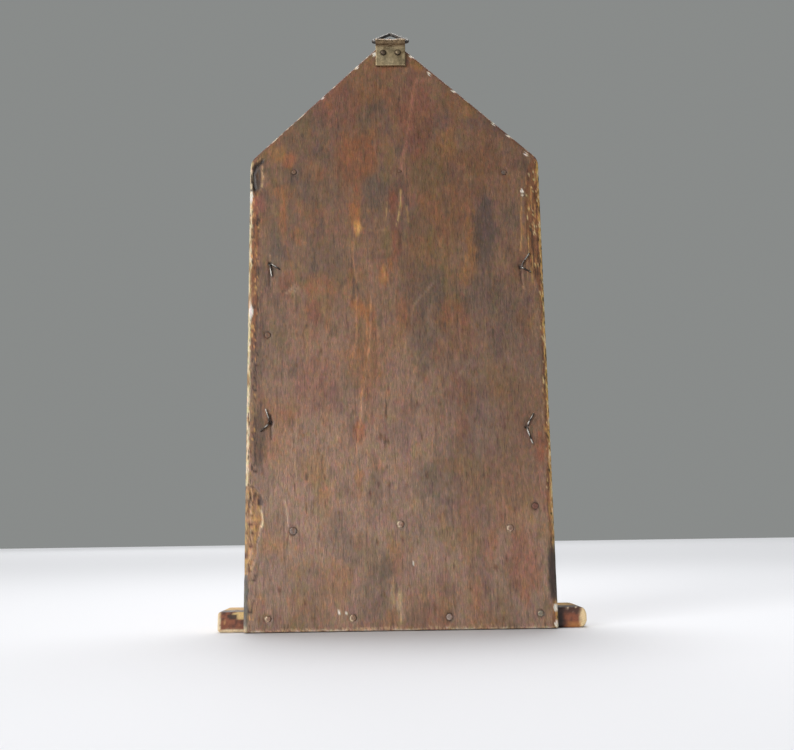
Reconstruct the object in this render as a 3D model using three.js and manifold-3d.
// A small gabled triptych: a case on a moulded base, two wings on wire hinges and a hanger at the top.
// Millimetres. X runs to the right seen from the front, Y from front to back and Z up. The origin is at
// the middle of the underside. The wings are closed.
import * as THREE from 'three';
import { mergeVertices } from 'three/addons/utils/BufferGeometryUtils.js';
import Module from 'manifold-3d';

// The case: one outline for the board, the frame and the two wings together.
const CASE_WIDTH = 151.5;
const CASE_X = 0.75;           // the case sits slightly off the middle of its base
const SHOULDER_Z = 239.8;
const APEX_Z = 310.5;
const APEX_X = 2.05;           // the gable's point, from the case's own middle
const SHOULDER_ROUND = 5;
const BOARD_THICK = 5;
const BOARD_ROUND = 1.2;
const FRAME_THICK = 9;
const STILE_WIDTH = 16;
const RAIL_HEIGHT = 13;
const ARCH_SPRING_Z = 168;
const HEAD_BOTTOM_Z = 164;
const EDGE_STEP = 3;           // the fillet round the opening of the frame
const EDGE_STEP_DEPTH = 2;
const PANEL_THICK = 2;

const WING_THICK = 8;
const WING_GAP = 1.2;
const WING_BOTTOM_Z = 44;
const WING_MEETING_GAP = 0.8;
const WING_BORDER = 9;
const FIELD_DEPTH = 1.6;
const PICTURE_DEPTH = 0.8;
const PICTURE_ARCH_Z = 200;

const BASE_WIDTH = 179.6;
const BASE_HEIGHT = 10;
const BASE_OVERHANG = 13;
const BASE_NOSE = 4.2;
const BASE_SQUARE_END = 1.6;
const PREDELLA_TOP_Z = 42.6;
const CORNICE_PROUD = 2.2;     // the mouldings along the predella's top and foot
const CORNICE_HEIGHT = 5;
const FOOT_PROUD = 1.6;
const FOOT_HEIGHT = 4.4;
const FRIEZE_END = 5;          // plain wood at both ends of the predella's sunk panel
const FRIEZE_BOTTOM_Z = 17.5;
const FRIEZE_TOP_Z = 34.8;
const FRIEZE_DEPTH = 1.4;
const FRIEZE_SPACING = 31;
const QUATREFOIL_R = 6.4;

// Carved flowers: the roundels of the arched head, and the wings' rosette with its leaves above and below.
const TOP_ROUNDEL = { x: 2.05, z: 262, radius: 13, petals: 8 };
const SIDE_ROUNDEL = { x: 57, z: 221, radius: 8, petals: 6 };
const ROSETTE_Z = 146;
const ROSETTE_R = 13;
const BOSS_R = 3.4;
const LONG_LEAF = { start: 15, end: 52, width: 7 };
const SIDE_LEAF = { startX: 6, start: 17, endX: 19, end: 40, width: 5 };
const SMALL_FLOWER = { away: 62, radius: 6.5, petals: 4 };

const SEAM = 0.1;              // the glue line between two pieces of wood
const FIT = 0.3;               // the room round metal in wood

const WIRE_R = 0.4;
const EYE_R = 1.2;
const LEG_SPACING = 0.5;
const BORE_R = 1.4;
const POCKET_R = 3.1;
const POCKET_HALF_HEIGHT = 2.1;
const PIVOT_OUT = 0.7;

const PLATE_WIDTH = 16;
const PLATE_THICK = 1.5;
const PLATE_BOTTOM_Z = 292.8;
const ROLL_Z = 306.1;
const ROLL_R = 1.7;
const RING_WIRE_R = 0.9;
const RING_HALF_WIDTH = 9.6;
const RING_HEIGHT = 13.5;
const RING_LEAN = THREE.MathUtils.degToRad(43);
const HANGER_X = 1.35;
const HANGER_NAILS = { hanger_nail_left: -3.85, hanger_nail_right: 3.85 };
const HANGER_NAIL_Z = 300.1;
const HANGER_NAIL_R = 1.45;
const HANGER_NAIL_LENGTH = 8;

// Planes from the back to the front.
const HALF = CASE_WIDTH / 2;
const PREDELLA_DEPTH = FRAME_THICK + WING_GAP + WING_THICK;
const BASE_DEPTH = PREDELLA_DEPTH + BASE_OVERHANG;
const HANGER_PROUD = SEAM + 2 * ROLL_R;
const BACK_Y = (BASE_DEPTH + BOARD_THICK + HANGER_PROUD) / 2 - HANGER_PROUD;
const BOARD_FRONT_Y = BACK_Y - BOARD_THICK;
const FRAME_BACK_Y = BOARD_FRONT_Y - SEAM;
const FRAME_FRONT_Y = BOARD_FRONT_Y - FRAME_THICK;
const WING_BACK_Y = FRAME_FRONT_Y - WING_GAP;
const WING_FRONT_Y = WING_BACK_Y - WING_THICK;
const PIVOT_X = HALF + PIVOT_OUT;
const PIVOT_Y = FRAME_FRONT_Y - WING_GAP / 2;
const OPENING_HALF = HALF - STILE_WIDTH;
const OPENING_BOTTOM_Z = PREDELLA_TOP_Z + SEAM + RAIL_HEIGHT;
const ROLL_Y = BACK_Y + SEAM + ROLL_R;

// Nails driven through the board from behind: place on the case and radius of the head.
const NAILS = {
  nail_base_1: [-67.35, 7.3, 1.5],
  nail_base_2: [-23.35, 6.3, 1.6],
  nail_base_3: [23.05, 6.5, 1.6],
  nail_base_4: [63.75, 6.6, 1.5],
  nail_rail_left: [-54.15, 48, 1.7],
  nail_rail_middle: [-0.45, 50.7, 1.7],
  nail_rail_right: [52.05, 48.1, 1.9],
  nail_stile_left: [-66.75, 58.6, 1.6],
  nail_stile_right: [65.55, 146.2, 1.5],
  nail_head_left: [-57.45, 232.3, 1.4],
  nail_head_middle: [-2.65, 233.5, 0.9],
  nail_head_right: [52.75, 233.5, 1.3],
  nail_head_side: [-66.75, 219.5, 0.8],
};
const NAIL_LENGTH = 11;
const NAIL_HEAD_THICK = 0.7;
const NAIL_PROUD = 0.25;
const NAIL_HEAD_EDGE = 0.25;   // the height of the bevel round a head
const NAIL_POINT = 1.5;
const NAIL_SHANK_R = 0.6;

// Each case wire: side, height, where it comes out of the back, and how far each leg is bent over.
const HINGES = {
  left_upper: { side: -1, z: 180.6, exitX: 63.85, legs: [[-5.3, 7.3], [-5.5, -3.1]] },
  left_lower: { side: -1, z: 97.7, exitX: 63.85, legs: [[-4, 6.9], [-2.8, -8.5]] },
  right_upper: { side: 1, z: 183.9, exitX: 64.85, legs: [[-5.2, -3.4], [-1.2, -7.3]] },
  right_lower: { side: 1, z: 101.5, exitX: 63.65, legs: [[4.9, -4.5], [2.5, 7]] },
};

// Old damage to the back of the board: a gouge at one shoulder and a split-off patch low on the same edge.
// Each is a shallow trough from one point on the case to the other.
const TROUGHS = [
  { from: [70.05, 242], to: [70.85, 223.5], radius: 2.6, depth: 1.3 },
  { from: [70.65, 67], to: [69.85, 35], radius: 7, depth: 0.8 },
];

const wasm = await Module();
wasm.setup();

const finishes = {
  stainedWood: { color: 0x6b4333, roughness: 0.5, metalness: 0 },
  gilding: { color: 0xb98d45, roughness: 0.4, metalness: 0.6 },
  painted: { color: 0x8f6a3c, roughness: 0.6, metalness: 0 },
  brass: { color: 0xa59170, roughness: 0.4, metalness: 0.9 },
  steel: { color: 0x4a4643, roughness: 0.45, metalness: 0.9 },
};

function piece(name, geometry, finish) {
  geometry.computeVertexNormals();
  const mesh = new THREE.Mesh(geometry, new THREE.MeshStandardMaterial(finishes[finish]));
  mesh.name = name;
  return mesh;
}

// Booleans.

function solid(geometry) {
  const bare = geometry.clone();
  bare.deleteAttribute('normal');
  bare.deleteAttribute('uv');
  const merged = mergeVertices(bare, 1e-4);
  return new wasm.Manifold(new wasm.Mesh({
    numProp: 3,
    vertProperties: Float32Array.from(merged.attributes.position.array),
    triVerts: Uint32Array.from(merged.index.array),
  }));
}

function geometryOf(manifold) {
  const mesh = manifold.getMesh();
  const geometry = new THREE.BufferGeometry();
  geometry.setAttribute('position', new THREE.BufferAttribute(mesh.vertProperties, 3));
  geometry.setIndex(new THREE.BufferAttribute(mesh.triVerts, 1));
  return geometry;
}

const joined = (solids) => solids.reduce((sum, next) => sum.add(next));
const cut = (body, tools) => body.subtract(joined(tools));

// Outlines, drawn in X and Z.

function roundedOutline(corners, radii) {
  const shape = new THREE.Shape();
  corners.forEach((corner, i) => {
    const before = corners[(i + corners.length - 1) % corners.length];
    const after = corners[(i + 1) % corners.length];
    const enter = corner.clone().add(before.clone().sub(corner).setLength(radii[i]));
    const leave = corner.clone().add(after.clone().sub(corner).setLength(radii[i]));
    if (i === 0) shape.moveTo(enter.x, enter.y);
    else shape.lineTo(enter.x, enter.y);
    shape.quadraticCurveTo(corner.x, corner.y, leave.x, leave.y);
  });
  shape.closePath();
  return shape;
}

const points = (pairs) => pairs.map(([x, z]) => new THREE.Vector2(x, z));
const rectangle = (x0, z0, x1, z1) => new THREE.Shape(points([[x0, z0], [x1, z0], [x1, z1], [x0, z1]]));

function gableZ(x) {
  const run = x < APEX_X ? (x + HALF) / (APEX_X + HALF) : (HALF - x) / (HALF - APEX_X);
  return SHOULDER_Z + (APEX_Z - SHOULDER_Z) * run;
}

function caseOutline() {
  const corners = points([[-HALF, 0], [HALF, 0], [HALF, SHOULDER_Z], [APEX_X, APEX_Z], [-HALF, SHOULDER_Z]]);
  return roundedOutline(corners, [2, 2, SHOULDER_ROUND, 3, SHOULDER_ROUND]);
}

function archOutline(x0, x1, bottomZ, springZ) {
  const shape = new THREE.Shape();
  shape.moveTo(x0, bottomZ);
  shape.lineTo(x1, bottomZ);
  shape.lineTo(x1, springZ);
  shape.absarc((x0 + x1) / 2, springZ, (x1 - x0) / 2, 0, Math.PI, false);
  shape.closePath();
  return shape;
}

function rosetteOutline(x, z, radius, petals) {
  const count = petals * 4;
  const rim = Array.from({ length: count }, (_, i) => {
    const angle = (2 * Math.PI * i) / count;
    const reach = radius * (0.68 + 0.32 * Math.abs(Math.cos((petals * angle) / 2)));
    return [x + reach * Math.cos(angle), z + reach * Math.sin(angle)];
  });
  return new THREE.Shape(points(rim));
}

function circleOutline(x, z, radius) {
  return new THREE.Shape().absarc(x, z, radius, 0, 2 * Math.PI, false);
}

// A pointed leaf from one tip to the other.
function leafOutline(x0, z0, x1, z1, width) {
  const side = new THREE.Vector2(z0 - z1, x1 - x0).setLength(width);
  const middle = new THREE.Vector2((x0 + x1) / 2, (z0 + z1) / 2);
  const shape = new THREE.Shape();
  shape.moveTo(x0, z0);
  shape.quadraticCurveTo(middle.x - side.x, middle.y - side.y, x1, z1);
  shape.quadraticCurveTo(middle.x + side.x, middle.y + side.y, x0, z0);
  return shape;
}

// Solids from outlines. A slab stands upright, with its back face at backY.

function slab(outline, backY, thickness, curveSegments = 5) {
  const geometry = new THREE.ExtrudeGeometry(outline, { depth: thickness, bevelEnabled: false, curveSegments });
  geometry.rotateX(Math.PI / 2);
  geometry.translate(0, backY, 0);
  return solid(geometry);
}

// A low relief on a face at frontY, softened round its rim.
function relief(outline, frontY, height, softness) {
  const options = { depth: height, bevelThickness: softness, bevelSize: softness, bevelOffset: -softness,
    bevelSegments: 1, curveSegments: 3 };
  const geometry = new THREE.ExtrudeGeometry(outline, options);
  geometry.rotateX(Math.PI / 2);
  geometry.translate(0, frontY, 0);
  return solid(geometry);
}

// A moulding along X with its profile in Y and Z.
function run(profile, x0, x1) {
  const geometry = new THREE.ExtrudeGeometry(profile, { depth: x1 - x0, bevelEnabled: false, curveSegments: 6 });
  geometry.applyMatrix4(new THREE.Matrix4().makeBasis(
    new THREE.Vector3(0, 1, 0), new THREE.Vector3(0, 0, 1), new THREE.Vector3(1, 0, 0)));
  geometry.translate(x0, 0, 0);
  return solid(geometry);
}

function rod(from, to, radius, sides) {
  const along = to.clone().sub(from);
  const geometry = new THREE.CylinderGeometry(radius, radius, along.length(), sides);
  geometry.applyQuaternion(new THREE.Quaternion().setFromUnitVectors(
    new THREE.Vector3(0, 1, 0), along.clone().normalize()));
  geometry.translate(...from.clone().add(to).multiplyScalar(0.5).toArray());
  return solid(geometry);
}

function wire(route, radius, steps, sides = 5) {
  const section = new THREE.Shape(Array.from({ length: sides }, (_, i) => {
    const angle = (2 * Math.PI * i) / sides;
    return new THREE.Vector2(radius * Math.cos(angle), radius * Math.sin(angle));
  }));
  const extrudePath = new THREE.CatmullRomCurve3(route, false, 'centripetal');
  return new THREE.ExtrudeGeometry(section, { steps, extrudePath, bevelEnabled: false });
}

// Nails.

function nailGeometry(headR) {
  const profile = points([
    [0, -NAIL_LENGTH],
    [NAIL_SHANK_R, NAIL_POINT - NAIL_LENGTH],
    [NAIL_SHANK_R, NAIL_PROUD - NAIL_HEAD_THICK],
    [headR, NAIL_PROUD - NAIL_HEAD_THICK],
    [headR, NAIL_PROUD - NAIL_HEAD_EDGE],
    [0.6 * headR, NAIL_PROUD],
    [0, NAIL_PROUD],
  ]);
  return new THREE.LatheGeometry(profile, 8);
}

function nailHole([x, z, headR]) {
  const at = (y) => new THREE.Vector3(x, BACK_Y + y, z);
  const sunk = NAIL_PROUD - NAIL_HEAD_THICK - FIT;
  return rod(at(sunk), at(1), headR + FIT, 8).add(rod(at(-NAIL_LENGTH - FIT), at(0), NAIL_SHANK_R + FIT, 5));
}

// Hinges: the case wire ends in a level eye round the pivot, and the wing wire in an upright one whose
// inner side stands on the pivot's axis.

const pivotAt = ({ side, z }) => new THREE.Vector3(side * PIVOT_X, PIVOT_Y, z);
const caseExit = ({ side, exitX, z }) => new THREE.Vector3(side * exitX, BACK_Y, z);

function wingExit({ side, z }) {
  const depth = PIVOT_Y - WING_FRONT_Y;
  return new THREE.Vector3(side * (PIVOT_X - depth), WING_FRONT_Y, z);
}

function hingeAxes(pivot, exit) {
  const into = exit.clone().sub(pivot).normalize();
  const across = new THREE.Vector3(0, 0, 1).cross(into);
  return { into, across };
}

function caseWire(hinge) {
  const pivot = pivotAt(hinge);
  const exit = caseExit(hinge);
  const { into, across } = hingeAxes(pivot, exit);
  const inBore = (depth, offset) => exit.clone().addScaledVector(into, -depth).addScaledVector(across, offset);
  const leg = ([dx, dz], offset) => [
    exit.clone().add(new THREE.Vector3(dx, WIRE_R + 0.15, dz)),
    exit.clone().add(new THREE.Vector3(0.45 * dx, WIRE_R + 0.25, 0.45 * dz)),
    exit.clone().add(new THREE.Vector3(0.12 * dx, WIRE_R + 0.1, 0.12 * dz)),
    inBore(1.8, offset),
    pivot.clone().addScaledVector(into, EYE_R + 1.4).addScaledVector(across, offset),
  ];
  const eye = Array.from({ length: 9 }, (_, i) => {
    const angle = THREE.MathUtils.degToRad(45 + (270 * i) / 8);
    return pivot.clone()
      .addScaledVector(into, EYE_R * Math.cos(angle))
      .addScaledVector(across, EYE_R * Math.sin(angle));
  });
  const first = leg(hinge.legs[0], LEG_SPACING);
  const last = leg(hinge.legs[1], -LEG_SPACING).reverse();
  return wire([...first, ...eye, ...last], WIRE_R, 26);
}

function wingWire(hinge) {
  const pivot = pivotAt(hinge);
  const exit = wingExit(hinge);
  const { into } = hingeAxes(pivot, exit);
  const at = (depth, rise) => pivot.clone().addScaledVector(into, depth).add(new THREE.Vector3(0, 0, rise));
  const half = (up) => [
    exit.clone().add(new THREE.Vector3(-1.5 * hinge.side, -WIRE_R - 0.15, 6.5 * up)),
    exit.clone().add(new THREE.Vector3(-0.6 * hinge.side, -WIRE_R - 0.25, 2.6 * up)),
    exit.clone().add(new THREE.Vector3(0, -WIRE_R - 0.1, 0.9 * up)),
    exit.clone().addScaledVector(into, -1.8).add(new THREE.Vector3(0, 0, LEG_SPACING * up)),
    at(3.6, LEG_SPACING * up),
    at(2.2, 1.05 * up),
    at(0.9, 1.15 * up),
    at(0.05, 0.75 * up),
  ];
  return wire([...half(1), at(0, 0), ...half(-1).reverse()], WIRE_R, 26);
}

function hingePocket(hinge) {
  const pivot = pivotAt(hinge);
  const up = new THREE.Vector3(0, 0, POCKET_HALF_HEIGHT);
  return rod(pivot.clone().sub(up), pivot.clone().add(up), POCKET_R, 12);
}

function hingeBore(hinge, exit) {
  const pivot = pivotAt(hinge);
  const beyond = exit.clone().sub(pivot).multiplyScalar(1.2).add(pivot);
  return rod(pivot, beyond, BORE_R, 7);
}

const caseHoles = [
  ...Object.values(NAILS).map(nailHole),
  ...Object.values(HINGES).map((hinge) => hingeBore(hinge, caseExit(hinge))),
  ...Object.values(HINGES).map(hingePocket),
];

// The case.

function backBoard() {
  const options = { depth: BOARD_THICK, bevelThickness: BOARD_ROUND, bevelSize: BOARD_ROUND,
    bevelOffset: -BOARD_ROUND, bevelSegments: 3, curveSegments: 4 };
  const geometry = new THREE.ExtrudeGeometry(caseOutline(), options);
  geometry.rotateX(Math.PI / 2);
  geometry.translate(0, BACK_Y - BOARD_ROUND, 0);
  const square = slab(rectangle(-HALF, 0, HALF, APEX_Z), BACK_Y, BOARD_THICK);
  const tools = [...caseHoles, ...hangerNailHoles(), ...TROUGHS.map(trough)];
  return cut(solid(geometry).intersect(square), tools);
}

function trough({ from, to, radius, depth }) {
  const at = ([x, z]) => new THREE.Vector3(x, BACK_Y + radius - depth, z);
  return rod(at(from), at(to), radius, 10);
}

function frameOpening() {
  const arch = (grow) => archOutline(-OPENING_HALF - grow, OPENING_HALF + grow,
    OPENING_BOTTOM_Z - grow, ARCH_SPRING_Z);
  const through = slab(arch(0), BACK_Y, 2 * FRAME_THICK, 9);
  const step = slab(arch(EDGE_STEP), FRAME_FRONT_Y + EDGE_STEP_DEPTH, FRAME_THICK, 9);
  return through.add(step);
}

const framePiece = (outline) => cut(
  slab(outline, FRAME_BACK_Y, FRAME_THICK - SEAM), [frameOpening(), ...caseHoles]);

function stile(side) {
  const x0 = side < 0 ? -HALF : OPENING_HALF + SEAM;
  const width = STILE_WIDTH - SEAM;
  return framePiece(rectangle(x0, PREDELLA_TOP_Z + SEAM, x0 + width, HEAD_BOTTOM_Z - SEAM));
}

function bottomRail() {
  return framePiece(rectangle(-OPENING_HALF, PREDELLA_TOP_Z + SEAM, OPENING_HALF, OPENING_BOTTOM_Z));
}

// A sunk roundel with a flower in it.
function carveFlower(body, { x, z, radius, petals }) {
  const sunk = slab(circleOutline(x, z, radius), FRAME_FRONT_Y + FIELD_DEPTH, FRAME_THICK, 8);
  const flower = relief(rosetteOutline(x, z, 0.84 * radius, petals), FRAME_FRONT_Y + FIELD_DEPTH, 0.4, 0.5);
  const boss = relief(circleOutline(x, z, 0.24 * radius), FRAME_FRONT_Y + FIELD_DEPTH, 0.9, 0.4);
  return body.subtract(sunk).add(flower).add(boss);
}

function archedHead() {
  const corners = points([[-HALF, HEAD_BOTTOM_Z], [HALF, HEAD_BOTTOM_Z], [HALF, SHOULDER_Z],
    [APEX_X, APEX_Z], [-HALF, SHOULDER_Z]]);
  let head = framePiece(roundedOutline(corners, [0.1, 0.1, SHOULDER_ROUND, 1.5, SHOULDER_ROUND]));
  head = carveFlower(head, TOP_ROUNDEL);
  for (const side of [-1, 1]) head = carveFlower(head, { ...SIDE_ROUNDEL, x: side * SIDE_ROUNDEL.x });
  return cut(head, hangerNailHoles());
}

function centrePanel() {
  const outline = archOutline(-OPENING_HALF + FIT, OPENING_HALF - FIT, OPENING_BOTTOM_Z + FIT, ARCH_SPRING_Z);
  return slab(outline, FRAME_BACK_Y, PANEL_THICK, 9);
}

// The base and the predella.

function base() {
  const backY = BOARD_FRONT_Y - SEAM;
  const frontY = BOARD_FRONT_Y - BASE_DEPTH;
  const profile = roundedOutline(
    points([[frontY, 0], [backY, 0], [backY, BASE_HEIGHT], [frontY, BASE_HEIGHT]]),
    [BASE_NOSE, 0.4, 0.4, BASE_NOSE]);
  const half = BASE_WIDTH / 2;
  const ends = roundedOutline(
    points([[-half, 0], [half, 0], [half, BASE_HEIGHT], [-half, BASE_HEIGHT]]),
    [BASE_NOSE, BASE_SQUARE_END, BASE_SQUARE_END, BASE_NOSE]);
  const holes = Object.values(NAILS).map(nailHole).map((hole) => hole.translate(CASE_X, 0, 0));
  return cut(run(profile, -half, half).intersect(slab(ends, backY, BASE_DEPTH, 6)), holes);
}

function predella() {
  const backY = BOARD_FRONT_Y - SEAM;
  const dieY = BOARD_FRONT_Y - PREDELLA_DEPTH;
  const bottomZ = BASE_HEIGHT + SEAM;
  const cornice = (out, down) => [dieY - out * CORNICE_PROUD, PREDELLA_TOP_Z - down * CORNICE_HEIGHT];
  const foot = (out, up) => [dieY - out * FOOT_PROUD, bottomZ + up * FOOT_HEIGHT];
  const profile = new THREE.Shape(points([
    foot(1, 0), foot(1, 0.5), foot(0.56, 0.77), foot(0, 1),
    cornice(0, 1), cornice(0.27, 0.88), cornice(0.64, 0.52), cornice(1, 0.36), cornice(1, 0),
    [backY, PREDELLA_TOP_Z], [backY, bottomZ],
  ]));
  const faceY = dieY + FRIEZE_DEPTH;
  const outline = rectangle(FRIEZE_END - HALF, FRIEZE_BOTTOM_Z, HALF - FRIEZE_END, FRIEZE_TOP_Z);
  const panel = slab(outline, faceY, FRAME_THICK);
  return run(profile, -HALF, HALF).subtract(panel).add(joined(predellaFrieze(faceY)));
}

// Quatrefoils in the sunk panel with a pair of leaves between each two.
function predellaFrieze(faceY) {
  const z = (FRIEZE_BOTTOM_Z + FRIEZE_TOP_Z) / 2;
  const [leafX, leafZ, leafWidth] = [6.5, 5.2, 3.2];
  const quatrefoils = [-2, -1, 0, 1, 2].map((i) =>
    relief(rosetteOutline(i * FRIEZE_SPACING, z, QUATREFOIL_R, 4), faceY, 0.4, 0.45));
  const leaves = [-1.5, -0.5, 0.5, 1.5].flatMap((i) => [-leafZ, leafZ].map((dz) => {
    const x = i * FRIEZE_SPACING;
    return relief(leafOutline(x - leafX, z - dz, x + leafX, z + dz, leafWidth), faceY, 0.35, 0.4);
  }));
  return [...quatrefoils, ...leaves];
}

// The wings.

function wingEdges(side) {
  const meeting = APEX_X + (side * WING_MEETING_GAP) / 2;
  return side < 0 ? [-HALF, meeting] : [meeting, HALF];
}

// The wing's own outline, drawn in from its edges by inset.
function wingOutline(side, inset) {
  const [left, right] = wingEdges(side);
  const x0 = left + inset;
  const x1 = right - inset;
  const slope = 1.35 * inset;
  const corners = points([[x0, WING_BOTTOM_Z + inset], [x1, WING_BOTTOM_Z + inset],
    [x1, gableZ(x1) - slope], [x0, gableZ(x0) - slope]]);
  const outer = SHOULDER_ROUND - Math.min(inset, 4);
  return roundedOutline(corners, side < 0 ? [0.5, 0.5, 0.5, outer] : [0.5, 0.5, outer, 0.5]);
}

function wingOrnament(side) {
  const [left, right] = wingEdges(side);
  const x = (left + right) / 2;
  const z = ROSETTE_Z;
  const faceY = WING_FRONT_Y + FIELD_DEPTH;
  const longLeaf = (up) => leafOutline(x, z + LONG_LEAF.start * up, x, z + LONG_LEAF.end * up, LONG_LEAF.width);
  const sideLeaf = (up, out) => leafOutline(
    x + SIDE_LEAF.startX * out, z + SIDE_LEAF.start * up,
    x + SIDE_LEAF.endX * out, z + SIDE_LEAF.end * up, SIDE_LEAF.width);
  const smallFlower = (up) => rosetteOutline(
    x, z + SMALL_FLOWER.away * up, SMALL_FLOWER.radius, SMALL_FLOWER.petals);
  const motifs = [
    relief(rosetteOutline(x, z, ROSETTE_R, 8), faceY, 0.45, 0.6),
    relief(circleOutline(x, z, BOSS_R), faceY, 1.1, 0.5),
  ];
  for (const up of [-1, 1]) {
    motifs.push(relief(longLeaf(up), faceY, 0.45, 0.6));
    for (const out of [-1, 1]) motifs.push(relief(sideLeaf(up, out), faceY, 0.4, 0.5));
    motifs.push(relief(smallFlower(up), faceY, 0.4, 0.5));
  }
  return motifs;
}

function wing(side) {
  const blank = slab(wingOutline(side, 0), WING_BACK_Y, WING_THICK);
  const field = slab(wingOutline(side, WING_BORDER), WING_FRONT_Y + FIELD_DEPTH, WING_THICK);
  const step = slab(wingOutline(side, WING_BORDER - 2), WING_FRONT_Y + 0.7, WING_THICK);
  const [left, right] = wingEdges(side);
  const picture = slab(archOutline(left + WING_BORDER, right - WING_BORDER, WING_BOTTOM_Z + WING_BORDER,
    PICTURE_ARCH_Z), WING_BACK_Y + 1, PICTURE_DEPTH + 1, 10);
  const hinges = Object.values(HINGES).filter((hinge) => hinge.side === side);
  const metalwork = hinges.flatMap((hinge) => [hingePocket(hinge), hingeBore(hinge, wingExit(hinge))]);
  return cut(blank, [field, step, picture]).add(joined(wingOrnament(side))).subtract(joined(metalwork));
}

// The hanger: a brass strip folded round the ring and nailed to the board's peak.

function hangerNailHoles() {
  const deep = BACK_Y - HANGER_NAIL_LENGTH;
  return Object.values(HANGER_NAILS).map((x) => rod(
    new THREE.Vector3(HANGER_X + x, deep, HANGER_NAIL_Z),
    new THREE.Vector3(HANGER_X + x, BACK_Y + 2 * PLATE_THICK, HANGER_NAIL_Z), NAIL_SHANK_R + FIT, 8));
}

function hangerPlate() {
  const innerY = BACK_Y + SEAM;
  const outerY = innerY + PLATE_THICK;
  const profile = new THREE.Shape();
  profile.moveTo(innerY, PLATE_BOTTOM_Z);
  profile.lineTo(outerY, PLATE_BOTTOM_Z);
  profile.lineTo(outerY, ROLL_Z - ROLL_R);
  const start = Math.atan2(-ROLL_R, outerY - ROLL_Y);
  profile.absarc(ROLL_Y, ROLL_Z, Math.hypot(ROLL_R, outerY - ROLL_Y), start, Math.PI, false);
  profile.closePath();
  const hole = new THREE.Path();
  hole.absarc(ROLL_Y, ROLL_Z, RING_WIRE_R + 0.3, 0, 2 * Math.PI, true);
  profile.holes.push(hole);
  const half = PLATE_WIDTH / 2;
  return cut(run(profile, HANGER_X - half, HANGER_X + half), hangerNailHoles());
}

function hangerNail() {
  const top = SEAM + PLATE_THICK + 0.1;
  const profile = points([
    [0, -HANGER_NAIL_LENGTH + 1],
    [NAIL_SHANK_R, -HANGER_NAIL_LENGTH + 2],
    [NAIL_SHANK_R, top],
    [HANGER_NAIL_R, top],
    [HANGER_NAIL_R, top + 0.3],
    [0.8 * HANGER_NAIL_R, top + 0.65],
    [0.4 * HANGER_NAIL_R, top + 0.85],
    [0, top + 0.9],
  ]);
  return new THREE.LatheGeometry(profile, 8);
}

// The ring is one wire whose ends meet inside the roll, here lying in X and Z round its own pivot.
function hangerRing() {
  const corner = RING_HALF_WIDTH;
  const rightHalf = [
    [0.3, 0], [4, 0], [corner - 2.2, 0], [corner - 0.6, 0.25], [corner, 1.2], [corner - 0.9, 2.6],
    [0.56 * corner, 0.5 * RING_HEIGHT], [1.9, RING_HEIGHT - 1.9], [0.9, RING_HEIGHT - 0.5],
  ];
  const leftHalf = rightHalf.map(([x, z]) => [-x, z]).reverse();
  const route = [...rightHalf, [0, RING_HEIGHT], ...leftHalf].map(([x, z]) => new THREE.Vector3(x, 0, z));
  return wire(route, RING_WIRE_R, 32, 6);
}

// The whole object.

const triptych = new THREE.Group();
triptych.add(piece('base', geometryOf(base()), 'gilding'));

const body = new THREE.Group();
body.position.x = CASE_X;
body.add(
  piece('back_board', geometryOf(backBoard()), 'stainedWood'),
  piece('predella', geometryOf(predella()), 'gilding'),
  piece('bottom_rail', geometryOf(bottomRail()), 'gilding'),
  piece('left_stile', geometryOf(stile(-1)), 'gilding'),
  piece('right_stile', geometryOf(stile(1)), 'gilding'),
  piece('arched_head', geometryOf(archedHead()), 'gilding'),
  piece('centre_panel', geometryOf(centrePanel()), 'painted'),
  piece('left_wing', geometryOf(wing(-1)), 'gilding'),
  piece('right_wing', geometryOf(wing(1)), 'gilding'),
  piece('hanger_plate', geometryOf(hangerPlate()), 'brass'),
);

for (const [name, [x, z, headR]] of Object.entries(NAILS)) {
  const nail = piece(name, nailGeometry(headR), 'steel');
  nail.position.set(x, BACK_Y, z);
  body.add(nail);
}

for (const [name, hinge] of Object.entries(HINGES)) {
  body.add(
    piece(`hinge_wire_case_${name}`, caseWire(hinge), 'steel'),
    piece(`hinge_wire_wing_${name}`, wingWire(hinge), 'steel'),
  );
}

for (const [name, x] of Object.entries(HANGER_NAILS)) {
  const nail = piece(name, hangerNail(), 'brass');
  nail.position.set(HANGER_X + x, BACK_Y, HANGER_NAIL_Z);
  body.add(nail);
}

const ring = piece('hanger_ring', hangerRing(), 'steel');
ring.position.set(HANGER_X, ROLL_Y, ROLL_Z);
ring.rotation.x = RING_LEAN;
body.add(ring);

triptych.add(body);

export default triptych;
